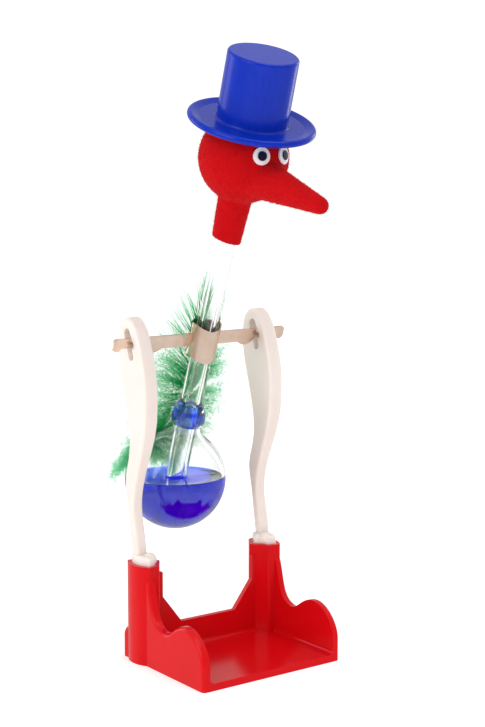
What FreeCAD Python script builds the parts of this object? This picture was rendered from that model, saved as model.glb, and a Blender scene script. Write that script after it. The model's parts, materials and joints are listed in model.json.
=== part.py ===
import FreeCAD, Part

import math
import os

from FreeCAD import Vector

# A drinking bird on its stand. Millimetres, +Z up, +X to the bird's left, the beak points to -Y.
# The origin is the centre of the base's underside. The bird is drawn upright in a frame of its own,
# whose origin is the pivot and whose Z axis is parallel to the glass tube, and is then tilted.

# ---- Base ----
BASE_WIDTH = 45.0
BASE_DEPTH = 38.6
FLOOR_THICKNESS = 2.0
SIDE_WALL_THICKNESS = 2.2
TRAY_COVE_RADIUS = 1.2
TOE_HEIGHT = 15.1
SADDLE_HEIGHT = 11.2
HEEL_HEIGHT = 9.0
EDGE_ROUND = 1.0
BACK_WALL_AHEAD_OF_POST = 0.7
BACK_WALL_THICKNESS = 1.6
BACK_WALL_HEIGHT = 9.4
BACK_WALL_FLAT_HALF = 9.0
RAMP_TOP_HEIGHT = 17.3

# ---- Posts that hold the legs ----
POST_FROM_SIDE = 1.9
POST_FROM_BACK = 7.3
POST_HEIGHT = 27.2
POST_HALF_LENGTH = 5.6
POST_OUTER_REACH = 3.3
POST_SHOULDER = 1.2
POST_INNER_X = 2.2
POST_INNER_Y = 4.8
POST_WEDGE_REACH = 5.5
POST_WALL = 1.1
POST_ROOT_BELOW_RIM = 3.0
POST_EDGE_ROUND = 0.8
SOCKET_EDGE_ROUND = 0.4
SOCKET_DEPTH = 14.0
PLUG_CLEARANCE = 0.05

# ---- Legs ----
LEG_THICKNESS = 4.4
ANKLE_THICKNESS = 3.3
LEG_TOP_HEIGHT = 93.6
LEG_EDGE_ROUND = 0.7
LEG_BEHIND_POST = 1.1
LEG_OUTSIDE_POST = 0.1
LEG_DRAWN_RISE = 66.4
KNEE_RISE = 30.8
HOCK_RISE = 21.8
PLUG_DOME = 2.4
PLUG_EDGE_ROUND = 1.0
PLUG_ABOVE_SOCKET_FLOOR = 1.0
FOOT_LUMP_RADIUS = 1.9

# ---- Pivot ----
PIVOT_BEHIND_LEG_LINE = 0.9
PIVOT_BELOW_LEG_TOP = 7.7
REST_TILT_DEG = 20.0
LEAF_THICKNESS = 0.3
BEARING_GAP = 0.03
WEB_THICKNESS = 1.2
SLOT_SWING_RADIUS = 2.1
SLOT_TOP_RADIUS = 1.5
SLOT_TOP_RISE = 3.4
SLOT_TOP_BACK = 1.2
POCKET_RADIUS = 1.2
POCKET_DROP = 2.4
POCKET_FORWARD = 0.6
ARM_TOP = 2.55
ARM_BOTTOM = -1.1
NECK_TOP = 1.4
LOBE_FROM_LEG = 5.8
LOBE_DEPTH = 1.0
NECK_PLAY = 0.35
END_LOBE_LENGTH = 2.6
AXLE_OVERHANG = 5.3
TIP_CORNER_RADIUS = 0.9
COLLAR_BOTTOM = -4.6
COLLAR_TOP = 6.2
COLLAR_DIP_RADIUS = 7.0
COLLAR_DIP = 1.2
COLLAR_FOOT_RISE = 1.6
COLLAR_FROM_TUBE = 1.15
COLLAR_SLIT = 0.35

# ---- Glass ----
TUBE_OFFSET = 1.75
TUBE_RADIUS = 3.05
TUBE_BORE_RADIUS = 1.6
TUBE_ABOVE_POLE = 5.2
BULB_RADIUS = 14.3
BULB_CENTRE = -42.2
BULB_WALL = 0.85
BULB_SHOULDER_ANGLE_DEG = 48.0
BULB_NECK_GAP = 0.2
NECK_ABOVE_BULB = 3.5
RING_HEIGHT = 6.2
RING_BULGE = 0.5
HEAD_CENTRE = 53.6
HEAD_GLASS_RADIUS = 10.4
HEAD_GLASS_WALL = 0.7
TUBE_IN_HEAD = 2.0
LIQUID_ABOVE_BULB_CENTRE = 0.75
SEAL_GAP = 0.02

# ---- Felt head and beak ----
FELT_THICKNESS = 1.4
GLUE_GAP = 0.05
NECK_FELT_DROP = 23.0
NECK_FELT_THICKNESS = 0.9
NECK_FELT_FLARE = 0.65
NECK_FELT_OVERLAP = 2.0
BEAK_LENGTH = 35.8
BEAK_TIP_RADIUS = 2.15
BEAK_ROOT_RADIUS = 5.5
BEAK_ROOT_REACH = 7.6
BEAK_ROOT_DROP = 2.5
BEAK_RISE_DEG = 5.3
BEAK_FELT = 1.0

# ---- Eyes ----
EYE_SPREAD_DEG = 19.75
EYE_TURN_DEG = 4.75
EYE_ELEVATION_DEG = 21.2
EYE_RADIUS = 2.28
EYE_THICKNESS = 0.4
PUPIL_RADIUS = 1.22
PUPIL_THICKNESS = 0.25

# ---- Hat ----
HAT_BRIM_RADIUS = 16.85
HAT_BRIM_THICKNESS = 1.1
HAT_RIM_LIFT = 0.6
HAT_RIM_WIDTH = 3.0
HAT_RIM_ROUND = 1.2
HAT_HEIGHT = 19.0
HAT_CROWN_RADIUS = 9.35
HAT_TOP_RADIUS = 9.25
HAT_WALL = 1.3
HAT_EDGE_ROUND = 0.7
HAT_PITCH_DEG = 1.45
HAT_ROLL_DEG = -3.5
HAT_SHIFT_X = 0.9
HAT_SHIFT_Y = 0.47

# ---- Feather ----
QUILL_RADIUS = 0.4
QUILL_TOP = 13.5
QUILL_BEND_ABOVE_RING = 18.4
QUILL_BEND_ROOM = 77.2
QUILL_BEND_DEG = 51.0
VANE_FROM_LEG = 6.5
VANE_TIP_HALF_WIDTH = 3.6
VANE_BELOW_BEND = 7.0
VANE_TOP = 15.0
VANE_THICKNESS = 1.0
DOWN_FROM_LEG = 1.5
DOWN_THICKNESS = 2.0
DOWN_START_DEG = 16.0
FEATHER_GAP = 0.3

# ---- Worked out from the sizes above ----
HALF_WIDTH = BASE_WIDTH / 2
HALF_DEPTH = BASE_DEPTH / 2
POST_X = HALF_WIDTH - POST_FROM_SIDE
POST_Y = HALF_DEPTH - POST_FROM_BACK
BACK_WALL_Y = POST_Y - BACK_WALL_AHEAD_OF_POST
LEG_X = POST_X + LEG_OUTSIDE_POST
LEG_INNER_X = LEG_X - LEG_THICKNESS / 2
LEG_OUTER_X = LEG_X + LEG_THICKNESS / 2
LEG_LEAN_Y = POST_Y + LEG_BEHIND_POST
LEG_STRETCH = (LEG_TOP_HEIGHT - POST_HEIGHT) / LEG_DRAWN_RISE
KNEE_HEIGHT = POST_HEIGHT + KNEE_RISE * LEG_STRETCH
HOCK_HEIGHT = POST_HEIGHT + HOCK_RISE * LEG_STRETCH
PIVOT_Y = LEG_LEAN_Y + PIVOT_BEHIND_LEG_LINE
PIVOT_Z = LEG_TOP_HEIGHT - PIVOT_BELOW_LEG_TOP
LOBE_START_X = LEG_INNER_X - LOBE_FROM_LEG
AXLE_HALF_LENGTH = LEG_OUTER_X + AXLE_OVERHANG
COLLAR_HALF_WIDTH = TUBE_RADIUS + COLLAR_FROM_TUBE
TUBE_BOTTOM = BULB_CENTRE - BULB_RADIUS + TUBE_ABOVE_POLE
BULB_NECK_RADIUS = TUBE_RADIUS + BULB_NECK_GAP + BULB_WALL
RING_BOTTOM = BULB_CENTRE + BULB_RADIUS + NECK_ABOVE_BULB
RING_RADIUS = BULB_NECK_RADIUS + RING_BULGE
TILT = math.radians(REST_TILT_DEG)
BULB_CENTRE_Z = PIVOT_Z + BULB_CENTRE * math.cos(TILT) - TUBE_OFFSET * math.sin(TILT)
LIQUID_LEVEL_Z = BULB_CENTRE_Z + LIQUID_ABOVE_BULB_CENTRE
NECK_FELT_BOTTOM = HEAD_CENTRE - NECK_FELT_DROP
NECK_FELT_RADIUS = TUBE_RADIUS + NECK_FELT_THICKNESS
NECK_FELT_TOP_RADIUS = NECK_FELT_RADIUS + NECK_FELT_FLARE
QUILL_BEND_Z = RING_BOTTOM + QUILL_BEND_ABOVE_RING
QUILL_BEND_RADIUS = QUILL_BEND_ROOM - 2 * BULB_RADIUS
VANE_BOTTOM = QUILL_BEND_Z - VANE_BELOW_BEND
VANE_HALF_WIDTH = LEG_INNER_X - VANE_FROM_LEG
DOWN_HALF_WIDTH = LEG_INNER_X - DOWN_FROM_LEG
FELT_RADIUS = HEAD_GLASS_RADIUS + GLUE_GAP + FELT_THICKNESS
FELT_INNER_RADIUS = HEAD_GLASS_RADIUS + GLUE_GAP
BACK_LEAF_REACH = TUBE_RADIUS + 2 * QUILL_RADIUS - TUBE_OFFSET
QUILL_Y = TUBE_RADIUS + QUILL_RADIUS - TUBE_OFFSET
UP = Vector(0, 0, 1)
ACROSS = Vector(1, 0, 0)


def box(low, high):
    size = Vector(*high) - Vector(*low)
    return Part.makeBox(size.x, size.y, size.z, Vector(*low))


def mirrored(shape):
    """The same piece on the other side of the middle plane."""
    return shape.mirror(Vector(0, 0, 0), ACROSS)


def face_of(edges):
    return Part.Face(Part.Wire(Part.__sortEdges__(edges)))


def spline(points):
    curve = Part.BSplineCurve()
    curve.interpolate(points)
    return curve.toShape()


def arc(start, middle, end):
    return Part.Arc(start, middle, end).toShape()


def line(start, end):
    return Part.LineSegment(start, end).toShape()


def polygon(points):
    return Part.Face(Part.makePolygon(points + points[:1]))


def lathe(edges, axis_point=Vector(0, 0, 0)):
    """Turn a profile drawn in the X-Z plane a full turn about Z."""
    return face_of(edges).revolve(axis_point, UP, 360)


def rounded(shape, radius, keep):
    """Round every edge for which keep(edge) holds."""
    edges = [edge for edge in shape.Edges if keep(edge)]
    return shape.makeFillet(radius, edges)


# ---------------------------------------------------------------- base

def side_profile():
    """Side view of a tray wall: rounded toe, saddle, sweep up to the post, heel."""
    front = -HALF_DEPTH
    post_front = POST_Y - POST_INNER_Y
    post_root = POST_HEIGHT - POST_ROOT_BELOW_RIM
    shares = [
        (0.0, TOE_HEIGHT * 0.35),
        (0.102, TOE_HEIGHT * 0.8),
        (0.343, TOE_HEIGHT),
        (0.536, (TOE_HEIGHT + SADDLE_HEIGHT) / 2),
        (0.672, SADDLE_HEIGHT),
        (0.834, SADDLE_HEIGHT + 1.6),
        (0.909, SADDLE_HEIGHT + 5.5),
        (1.0, post_root),
    ]
    sweep = [Vector(0, front + (post_front - front) * share, height) for share, height in shares]
    heel_top = HALF_DEPTH - HEEL_HEIGHT / 3
    heel_arc = arc(
        Vector(0, heel_top, HEEL_HEIGHT),
        Vector(0, HALF_DEPTH - 0.9, HEEL_HEIGHT - 0.9),
        Vector(0, HALF_DEPTH, HEEL_HEIGHT * 2 / 3),
    )
    return face_of([
        line(Vector(0, front, 0), sweep[0]),
        spline(sweep),
        line(sweep[-1], Vector(0, POST_Y, post_root)),
        line(Vector(0, POST_Y, post_root), Vector(0, POST_Y, HEEL_HEIGHT)),
        line(Vector(0, POST_Y, HEEL_HEIGHT), Vector(0, heel_top, HEEL_HEIGHT)),
        heel_arc,
        line(Vector(0, HALF_DEPTH, HEEL_HEIGHT * 2 / 3), Vector(0, HALF_DEPTH, 0)),
        line(Vector(0, HALF_DEPTH, 0), Vector(0, front, 0)),
    ])


def post_plan(inset, height):
    """Plan of a post on the +X side: a bulging outer side and a wedge that points inward."""
    shoulder_y = POST_HALF_LENGTH - inset
    outer = Vector(POST_OUTER_REACH - inset, 0, 0)
    front_outer = Vector(POST_SHOULDER - inset / 2, -shoulder_y, 0)
    rear_outer = Vector(POST_SHOULDER - inset / 2, shoulder_y, 0)
    front_inner = Vector(-POST_INNER_X + inset / 2, -POST_INNER_Y + inset, 0)
    rear_inner = Vector(-POST_INNER_X + inset / 2, POST_INNER_Y - inset, 0)
    wedge = Vector(-POST_WEDGE_REACH + inset * 1.4, 0, 0)
    plan = face_of([
        arc(front_outer, outer, rear_outer),
        line(rear_outer, rear_inner),
        line(rear_inner, wedge),
        line(wedge, front_inner),
        line(front_inner, front_outer),
    ])
    plan.translate(Vector(POST_X, POST_Y, height))
    return plan


def post_prism(inset, bottom, top, round_radius):
    prism = post_plan(inset, bottom).extrude(UP * (top - bottom))
    return rounded(prism, round_radius, is_upright)


def is_upright(edge):
    box_of_edge = edge.BoundBox
    return box_of_edge.ZLength > 0.5 and box_of_edge.XLength < 0.01 and box_of_edge.YLength < 0.01


def tray_interior():
    """The space in front of the back wall, with coves where the floor meets the walls."""
    inner_x = HALF_WIDTH - SIDE_WALL_THICKNESS
    inner_y = BACK_WALL_Y - BACK_WALL_THICKNESS / 2
    space = box((-inner_x, -BASE_DEPTH, FLOOR_THICKNESS), (inner_x, inner_y, POST_HEIGHT * 2))

    def cove_edge(edge):
        bounds = edge.BoundBox
        on_floor = bounds.ZMax < FLOOR_THICKNESS + 0.01
        back_corner = bounds.YMin > inner_y - 0.01 and bounds.ZLength > 1
        at_mouth = bounds.YMax < -BASE_DEPTH + 0.01
        return (on_floor or back_corner) and not at_mouth

    return rounded(space, TRAY_COVE_RADIUS, cove_edge)


def rear_space():
    """The space behind the back wall."""
    inner_x = HALF_WIDTH - SIDE_WALL_THICKNESS
    rear_face = BACK_WALL_Y + BACK_WALL_THICKNESS / 2
    return box((-inner_x, rear_face, FLOOR_THICKNESS), (inner_x, BASE_DEPTH, POST_HEIGHT * 2))


def above_back_wall():
    """What is cut away over the back wall's flat top and its two ramps."""
    ramp_x = POST_X - POST_WEDGE_REACH
    high = POST_HEIGHT * 2
    outline = [
        Vector(-BACK_WALL_FLAT_HALF, 0, BACK_WALL_HEIGHT),
        Vector(BACK_WALL_FLAT_HALF, 0, BACK_WALL_HEIGHT),
        Vector(ramp_x, 0, RAMP_TOP_HEIGHT),
        Vector(ramp_x, 0, high),
        Vector(-ramp_x, 0, high),
        Vector(-ramp_x, 0, RAMP_TOP_HEIGHT),
    ]
    cutter = polygon(outline).extrude(Vector(0, BACK_WALL_THICKNESS * 2, 0))
    cutter.translate(Vector(0, BACK_WALL_Y - BACK_WALL_THICKNESS, 0))
    return cutter


def make_base():
    block = side_profile().extrude(Vector(BASE_WIDTH, 0, 0))
    block.translate(Vector(-HALF_WIDTH, 0, 0))

    def outer_top_edge(edge):
        bounds = edge.BoundBox
        on_side = bounds.XLength < 0.01
        above_ground = bounds.ZMax > 0.01
        clear_of_post = bounds.YMax < POST_Y - 0.01 or bounds.YMin > POST_Y + 0.01
        return on_side and above_ground and clear_of_post

    block = rounded(block, EDGE_ROUND, outer_top_edge)
    block = block.cut(tray_interior()).cut(rear_space()).cut(above_back_wall())
    post = post_prism(0, 0, POST_HEIGHT, POST_EDGE_ROUND)
    socket = post_prism(POST_WALL, POST_HEIGHT - SOCKET_DEPTH, POST_HEIGHT + 1, SOCKET_EDGE_ROUND)
    for column, hole in ((post, socket), (mirrored(post), mirrored(socket))):
        block = block.fuse(column).cut(hole)
    return block.removeSplitter()


# ---------------------------------------------------------------- legs

def leg_outline():
    """Side view of a leg: broad thigh, narrow shank and a hock on the rear edge.

    Each point is how far it lies behind the leg's line and how far above its level (below it if less than 0).
    """
    foot = POST_HEIGHT + 1.0
    from_hock_rear = [(2.8, -12), (3.8, -6), (4.7, 0), (3.3, 5)]
    from_knee_rear = [(2.1, 1)]
    from_top = [
        (3.4, -24), (5.8, -16), (7.1, -9.5), (6.8, -4.6), (5.3, -1.3), (2.9, 0), (-0.1, -1.3), (-2.5, -4.6),
        (-4.4, -9.5), (-6.0, -16), (-6.3, -23), (-5.7, -29),
    ]
    from_knee_front = [(-3.7, 0)]
    from_hock_front = [(-1.5, 3.5), (0.4, -2.5), (0.9, -6), (0.1, -12)]
    groups = (
        (from_hock_rear, HOCK_HEIGHT), (from_knee_rear, KNEE_HEIGHT), (from_top, LEG_TOP_HEIGHT),
        (from_knee_front, KNEE_HEIGHT), (from_hock_front, HOCK_HEIGHT),
    )
    points = [(LEG_LEAN_Y + 1.4, foot)]
    for group, level in groups:
        points += [(LEG_LEAN_Y + behind, level + above * LEG_STRETCH) for behind, above in group]
    points.append((LEG_LEAN_Y - 1.1, foot))
    outline = spline([Vector(0, py, pz) for py, pz in points])
    sole = line(Vector(0, *points[-1]), Vector(0, *points[0]))
    return face_of([outline, sole])


def leg_thickness_profile():
    """Front view of a leg: thick thigh and thinner shank."""
    thigh = LEG_THICKNESS / 2
    shank = ANKLE_THICKNESS / 2
    foot = POST_HEIGHT - 1
    half = [(shank, foot), (shank, HOCK_HEIGHT), (thigh, KNEE_HEIGHT + 8), (thigh, LEG_TOP_HEIGHT + 1)]
    points = [Vector(px, 0, pz) for px, pz in half] + [Vector(-px, 0, pz) for px, pz in reversed(half)]
    profile = polygon(points).extrude(Vector(0, 60, 0))
    profile.translate(Vector(0, -20, 0))
    return profile


def slot_cutter():
    """Keyhole through the leg: a swing circle at the pivot that narrows to a rounded top."""
    pivot = Vector(0, PIVOT_Y, PIVOT_Z)
    top = pivot + Vector(0, SLOT_TOP_BACK, SLOT_TOP_RISE)
    through = Vector(LEG_THICKNESS * 2, 0, 0)
    along = (top - pivot).normalize()
    side = Vector(0, along.z, -along.y)
    swing = Part.makeCylinder(SLOT_SWING_RADIUS, through.x, pivot, ACROSS)
    round_top = Part.makeCylinder(SLOT_TOP_RADIUS, through.x, top, ACROSS)
    neck = polygon([
        pivot + side * SLOT_SWING_RADIUS,
        pivot - side * SLOT_SWING_RADIUS,
        top - side * SLOT_TOP_RADIUS,
        top + side * SLOT_TOP_RADIUS,
    ]).extrude(through)
    slot = swing.fuse(round_top).fuse(neck)
    slot.translate(Vector(-LEG_THICKNESS, 0, 0))
    web_top = PIVOT_Z - LEAF_THICKNESS - BEARING_GAP
    return slot.cut(box((-LEG_THICKNESS, 0, 0), (LEG_THICKNESS, BASE_WIDTH, web_top)))


def slot_pockets():
    """Blind recesses under the bearing web, one on each face of the leg."""
    low = Vector(0, PIVOT_Y - POCKET_FORWARD, PIVOT_Z - POCKET_DROP)
    ends = (low, Vector(0, PIVOT_Y, PIVOT_Z - LEAF_THICKNESS))
    pockets = []
    for x_start in (WEB_THICKNESS / 2, -LEG_THICKNESS):
        length = LEG_THICKNESS if x_start > 0 else LEG_THICKNESS - WEB_THICKNESS / 2
        for end in ends:
            pockets.append(Part.makeCylinder(POCKET_RADIUS, length, end + ACROSS * x_start, ACROSS))
        middle = [
            ends[0] + Vector(x_start, -POCKET_RADIUS, 0),
            ends[0] + Vector(x_start, POCKET_RADIUS, 0),
            ends[1] + Vector(x_start, POCKET_RADIUS, 0),
            ends[1] + Vector(x_start, -POCKET_RADIUS, 0),
        ]
        pockets.append(polygon(middle).extrude(ACROSS * length))
    web_top = PIVOT_Z - LEAF_THICKNESS - BEARING_GAP
    joined = pockets[0].multiFuse(pockets[1:])
    return joined.cut(box((-LEG_THICKNESS, 0, web_top + 0.01), (LEG_THICKNESS, BASE_WIDTH, LEG_TOP_HEIGHT)))


def foot_plug():
    """The plug that fills the post's socket, with a domed top that stands over its rim."""
    inset = POST_WALL + PLUG_CLEARANCE
    bottom = POST_HEIGHT - SOCKET_DEPTH + PLUG_ABOVE_SOCKET_FLOOR
    plug = post_prism(inset, bottom, POST_HEIGHT + PLUG_DOME, SOCKET_EDGE_ROUND)

    def top_edge(edge):
        return edge.BoundBox.ZMin > POST_HEIGHT + PLUG_DOME - 0.01

    plug = rounded(plug, PLUG_EDGE_ROUND, top_edge)
    lump_place = Vector(POST_X - 1.2, POST_Y - 1.7, POST_HEIGHT + PLUG_DOME - 1.2)
    lump = Part.makeSphere(FOOT_LUMP_RADIUS, lump_place)
    return plug.fuse(lump)


def make_leg():
    blade = leg_outline().extrude(ACROSS * LEG_THICKNESS)
    blade.translate(ACROSS * (-LEG_THICKNESS / 2))
    blade = blade.common(leg_thickness_profile())

    def long_edge(edge):
        bounds = edge.BoundBox
        return bounds.ZLength > 4 and bounds.ZMin > POST_HEIGHT - 1

    blade = rounded(blade, LEG_EDGE_ROUND, long_edge)
    blade = blade.cut(slot_cutter()).cut(slot_pockets())
    blade.translate(ACROSS * LEG_X)
    return blade.fuse(foot_plug()).removeSplitter()


# ---------------------------------------------------------------- clamp

def arm_outline(side):
    """One arm of a leaf in the X-Z plane: strip, inner lobe, neck in the leg, end lobe."""
    neck_start = LEG_INNER_X - NECK_PLAY
    neck_end = LEG_OUTER_X + NECK_PLAY
    neck_bottom = -LEAF_THICKNESS
    lobe_x = (LOBE_START_X + neck_start) / 2
    end_lobe_x = AXLE_HALF_LENGTH - END_LOBE_LENGTH
    tip = AXLE_HALF_LENGTH
    corner = TIP_CORNER_RADIUS
    high = ARM_TOP - corner
    low = ARM_BOTTOM + corner
    end_middle_x = (tip + end_lobe_x) / 2

    def at(x, z):
        return Vector(x * side, 0, z)

    return face_of([
        line(at(0, ARM_TOP), at(neck_start, ARM_TOP)),
        line(at(neck_start, ARM_TOP), at(neck_start, NECK_TOP)),
        line(at(neck_start, NECK_TOP), at(neck_end, NECK_TOP)),
        line(at(neck_end, NECK_TOP), at(neck_end, ARM_TOP)),
        line(at(neck_end, ARM_TOP), at(tip - corner, ARM_TOP)),
        arc(at(tip - corner, ARM_TOP), at(tip - corner * 0.3, ARM_TOP - corner * 0.3), at(tip, high)),
        line(at(tip, high), at(tip, low)),
        arc(at(tip, low), at(end_middle_x, ARM_BOTTOM), at(end_lobe_x, neck_bottom)),
        line(at(end_lobe_x, neck_bottom), at(neck_start, neck_bottom)),
        arc(at(neck_start, neck_bottom), at(lobe_x, ARM_BOTTOM - LOBE_DEPTH), at(LOBE_START_X, ARM_BOTTOM)),
        line(at(LOBE_START_X, ARM_BOTTOM), at(0, ARM_BOTTOM)),
        line(at(0, ARM_BOTTOM), at(0, ARM_TOP)),
    ])


def half_sleeve(reach, bottom, top):
    """The curved wall of a leaf, from one side of the tube round to the other, to -Y by reach."""
    width = COLLAR_HALF_WIDTH
    outer = Part.Arc(Vector(-width, 0, bottom), Vector(0, -reach, bottom), Vector(width, 0, bottom))
    inner_reach = reach - LEAF_THICKNESS
    inner_width = width - LEAF_THICKNESS
    inner = Part.Arc(
        Vector(-inner_width, 0, bottom), Vector(0, -inner_reach, bottom), Vector(inner_width, 0, bottom))
    wall = face_of([
        outer.toShape(),
        inner.toShape(),
        line(Vector(-width, 0, bottom), Vector(-inner_width, 0, bottom)),
        line(Vector(inner_width, 0, bottom), Vector(width, 0, bottom)),
    ])
    return wall.extrude(UP * (top - bottom))


def collar_dip():
    """What the front leaf's edges leave out: its top dips between two ears, its foot curves down."""
    radius = COLLAR_DIP_RADIUS
    depth = 2 * (TUBE_RADIUS + TUBE_OFFSET)
    start = Vector(0, -depth, 0)
    along = Vector(0, 1, 0)
    top = Part.makeCylinder(radius, depth, start + UP * (COLLAR_TOP - COLLAR_DIP + radius), along)
    foot = Part.makeCylinder(radius, depth, start + UP * (COLLAR_BOTTOM + radius), along)
    corners = box((-radius, -depth, COLLAR_BOTTOM - 1), (radius, 0, COLLAR_BOTTOM + COLLAR_FOOT_RISE))
    return top.fuse(corners.cut(foot))


def make_leaf(forward, reach):
    """A stamped leaf: two flat arms and the half sleeve between them."""
    inner = box((-COLLAR_HALF_WIDTH + LEAF_THICKNESS, -1, ARM_BOTTOM - 1),
                (COLLAR_HALF_WIDTH - LEAF_THICKNESS, 1, ARM_TOP + 1))
    start = Vector(0, -LEAF_THICKNESS if forward else 0, 0)
    arms = arm_outline(1).extrude(Vector(0, LEAF_THICKNESS, 0))
    arms = arms.fuse(arm_outline(-1).extrude(Vector(0, LEAF_THICKNESS, 0)))
    arms.translate(start)
    arms = arms.cut(inner)
    sleeve = half_sleeve(reach, COLLAR_BOTTOM, COLLAR_TOP)
    beyond = COLLAR_HALF_WIDTH + 1
    for low, high in ((COLLAR_BOTTOM - 1, ARM_BOTTOM), (ARM_TOP, COLLAR_TOP + 1)):
        sleeve = sleeve.cut(box((-beyond, -COLLAR_SLIT, low), (beyond, 1, high)))
    if forward:
        sleeve = sleeve.cut(collar_dip())
    else:
        sleeve = sleeve.rotate(Vector(0, 0, 0), UP, 180)
    leaf = arms.fuse(sleeve).removeSplitter()
    outer_y = -LEAF_THICKNESS if forward else LEAF_THICKNESS
    neck_bottom = -LEAF_THICKNESS

    def bearing_edge(edge):
        bounds = edge.BoundBox
        on_outer_face = abs(bounds.YMin - outer_y) < 0.01 and abs(bounds.YMax - outer_y) < 0.01
        at_bottom = abs(bounds.ZMin - neck_bottom) < 0.01 and bounds.ZLength < 0.01
        return on_outer_face and at_bottom and bounds.XLength > 1

    return rounded(leaf, LEAF_THICKNESS - 0.02, bearing_edge)


# ---------------------------------------------------------------- glass and liquid

def bulb_profile(inset):
    """Outline of the bulb from its bottom pole up to the neck, moved inward by inset."""
    radius = BULB_RADIUS - inset
    angle = math.radians(BULB_SHOULDER_ANGLE_DEG)
    neck_radius = BULB_NECK_RADIUS - inset
    pole = Vector(0, 0, BULB_CENTRE - radius)
    side = Vector(radius, 0, BULB_CENTRE)
    shoulder = Vector(radius * math.cos(angle), 0, BULB_CENTRE + radius * math.sin(angle))
    neck = Vector(neck_radius, 0, RING_BOTTOM)
    leaving = Vector(-math.sin(angle), 0, math.cos(angle))
    handle = (neck - shoulder).Length * 0.45
    curve = Part.BezierCurve()
    curve.setPoles([shoulder, shoulder + leaving * handle, neck - UP * handle, neck])
    return [arc(pole, side, shoulder), curve.toShape()]


def make_lower_bulb():
    outer = bulb_profile(0)
    inner = bulb_profile(BULB_WALL)
    outer_top = Vector(BULB_NECK_RADIUS, 0, RING_BOTTOM)
    inner_top = Vector(BULB_NECK_RADIUS - BULB_WALL, 0, RING_BOTTOM)
    outer_pole = Vector(0, 0, BULB_CENTRE - BULB_RADIUS)
    inner_pole = outer_pole + UP * BULB_WALL
    return lathe(outer + inner + [line(outer_top, inner_top), line(outer_pole, inner_pole)])


def make_seal_ring():
    bore = TUBE_RADIUS
    top = RING_BOTTOM + RING_HEIGHT
    middle = RING_BOTTOM + RING_HEIGHT * 0.45
    return lathe([
        line(Vector(bore, 0, RING_BOTTOM), Vector(BULB_NECK_RADIUS, 0, RING_BOTTOM)),
        arc(Vector(BULB_NECK_RADIUS, 0, RING_BOTTOM), Vector(RING_RADIUS, 0, middle), Vector(bore, 0, top)),
        line(Vector(bore, 0, top), Vector(bore, 0, RING_BOTTOM)),
    ])


def make_stem_tube():
    top = HEAD_CENTRE - HEAD_GLASS_RADIUS + TUBE_IN_HEAD
    start = Vector(0, 0, TUBE_BOTTOM)
    outside = Part.makeCylinder(TUBE_RADIUS, top - TUBE_BOTTOM, start)
    return outside.cut(Part.makeCylinder(TUBE_BORE_RADIUS, top - TUBE_BOTTOM, start))


def make_head_bulb():
    centre = Vector(0, 0, HEAD_CENTRE)
    shell = Part.makeSphere(HEAD_GLASS_RADIUS, centre)
    shell = shell.cut(Part.makeSphere(HEAD_GLASS_RADIUS - HEAD_GLASS_WALL, centre))
    mouth = Part.makeCylinder(TUBE_RADIUS, HEAD_GLASS_RADIUS, centre - UP * HEAD_GLASS_RADIUS)
    return shell.cut(mouth)


def below_liquid_level():
    """Everything under the level surface, drawn in the bird's own frame so that it comes out level."""
    slab = box((-BASE_WIDTH, -BASE_WIDTH, -BASE_WIDTH), (BASE_WIDTH, BASE_WIDTH * 2, LIQUID_LEVEL_Z))
    slab.translate(Vector(0, -PIVOT_Y, -PIVOT_Z))
    return slab.rotate(Vector(0, 0, 0), ACROSS, -REST_TILT_DEG).translate(Vector(0, TUBE_OFFSET, 0))


def make_liquid():
    wetted = BULB_WALL + SEAL_GAP
    pole = Vector(0, 0, BULB_CENTRE - BULB_RADIUS + wetted)
    top = Vector(0, 0, RING_BOTTOM)
    edges = bulb_profile(wetted)
    rim = Vector(BULB_NECK_RADIUS - wetted, 0, RING_BOTTOM)
    filling = lathe(edges + [line(rim, top), line(top, pole)])
    tube_length = RING_BOTTOM - TUBE_BOTTOM + 1
    outside = Part.makeCylinder(TUBE_RADIUS + SEAL_GAP, tube_length, Vector(0, 0, TUBE_BOTTOM - SEAL_GAP))
    bore = Part.makeCylinder(TUBE_BORE_RADIUS - SEAL_GAP, tube_length, Vector(0, 0, TUBE_BOTTOM - SEAL_GAP))
    return filling.cut(outside.cut(bore)).common(below_liquid_level())


# ---------------------------------------------------------------- felt head

def beak_shape(skin):
    """A blunt cone that points to -Y, set in the head; skin is how far its surface lies inside the felt."""
    root_radius = BEAK_ROOT_RADIUS - skin
    tip_radius = BEAK_TIP_RADIUS - skin
    length = BEAK_LENGTH - BEAK_ROOT_REACH - skin
    cone = Part.makeCone(root_radius, tip_radius, length - tip_radius)
    cone = cone.fuse(Part.makeSphere(tip_radius, Vector(0, 0, length - tip_radius)))
    cone.rotate(Vector(0, 0, 0), ACROSS, 90 - BEAK_RISE_DEG)
    cone.translate(Vector(0, -BEAK_ROOT_REACH, HEAD_CENTRE - BEAK_ROOT_DROP))
    return cone


def make_beak_core():
    glass = Part.makeSphere(FELT_INNER_RADIUS, Vector(0, 0, HEAD_CENTRE))
    return beak_shape(BEAK_FELT + GLUE_GAP).cut(glass)


def make_beak_cover():
    head = Part.makeSphere(FELT_RADIUS + GLUE_GAP, Vector(0, 0, HEAD_CENTRE))
    cover = beak_shape(0).cut(beak_shape(BEAK_FELT)).cut(head)
    for side in (1, -1):
        cover = cover.cut(eye_disc(side, EYE_RADIUS + GLUE_GAP, 0, EYE_THICKNESS + GLUE_GAP))
    return cover


def make_head_cover():
    centre = Vector(0, 0, HEAD_CENTRE)
    shell = Part.makeSphere(FELT_RADIUS, centre).cut(Part.makeSphere(FELT_INNER_RADIUS, centre))
    mouth = Part.makeCylinder(TUBE_RADIUS + GLUE_GAP, FELT_RADIUS, Vector(0, 0, HEAD_CENTRE - FELT_RADIUS))
    hat = make_hat()
    pressed = hat.fuse(hat.translated(Vector(0, 0, -GLUE_GAP)))
    return shell.cut(mouth).cut(beak_shape(BEAK_FELT)).cut(pressed)


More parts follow.
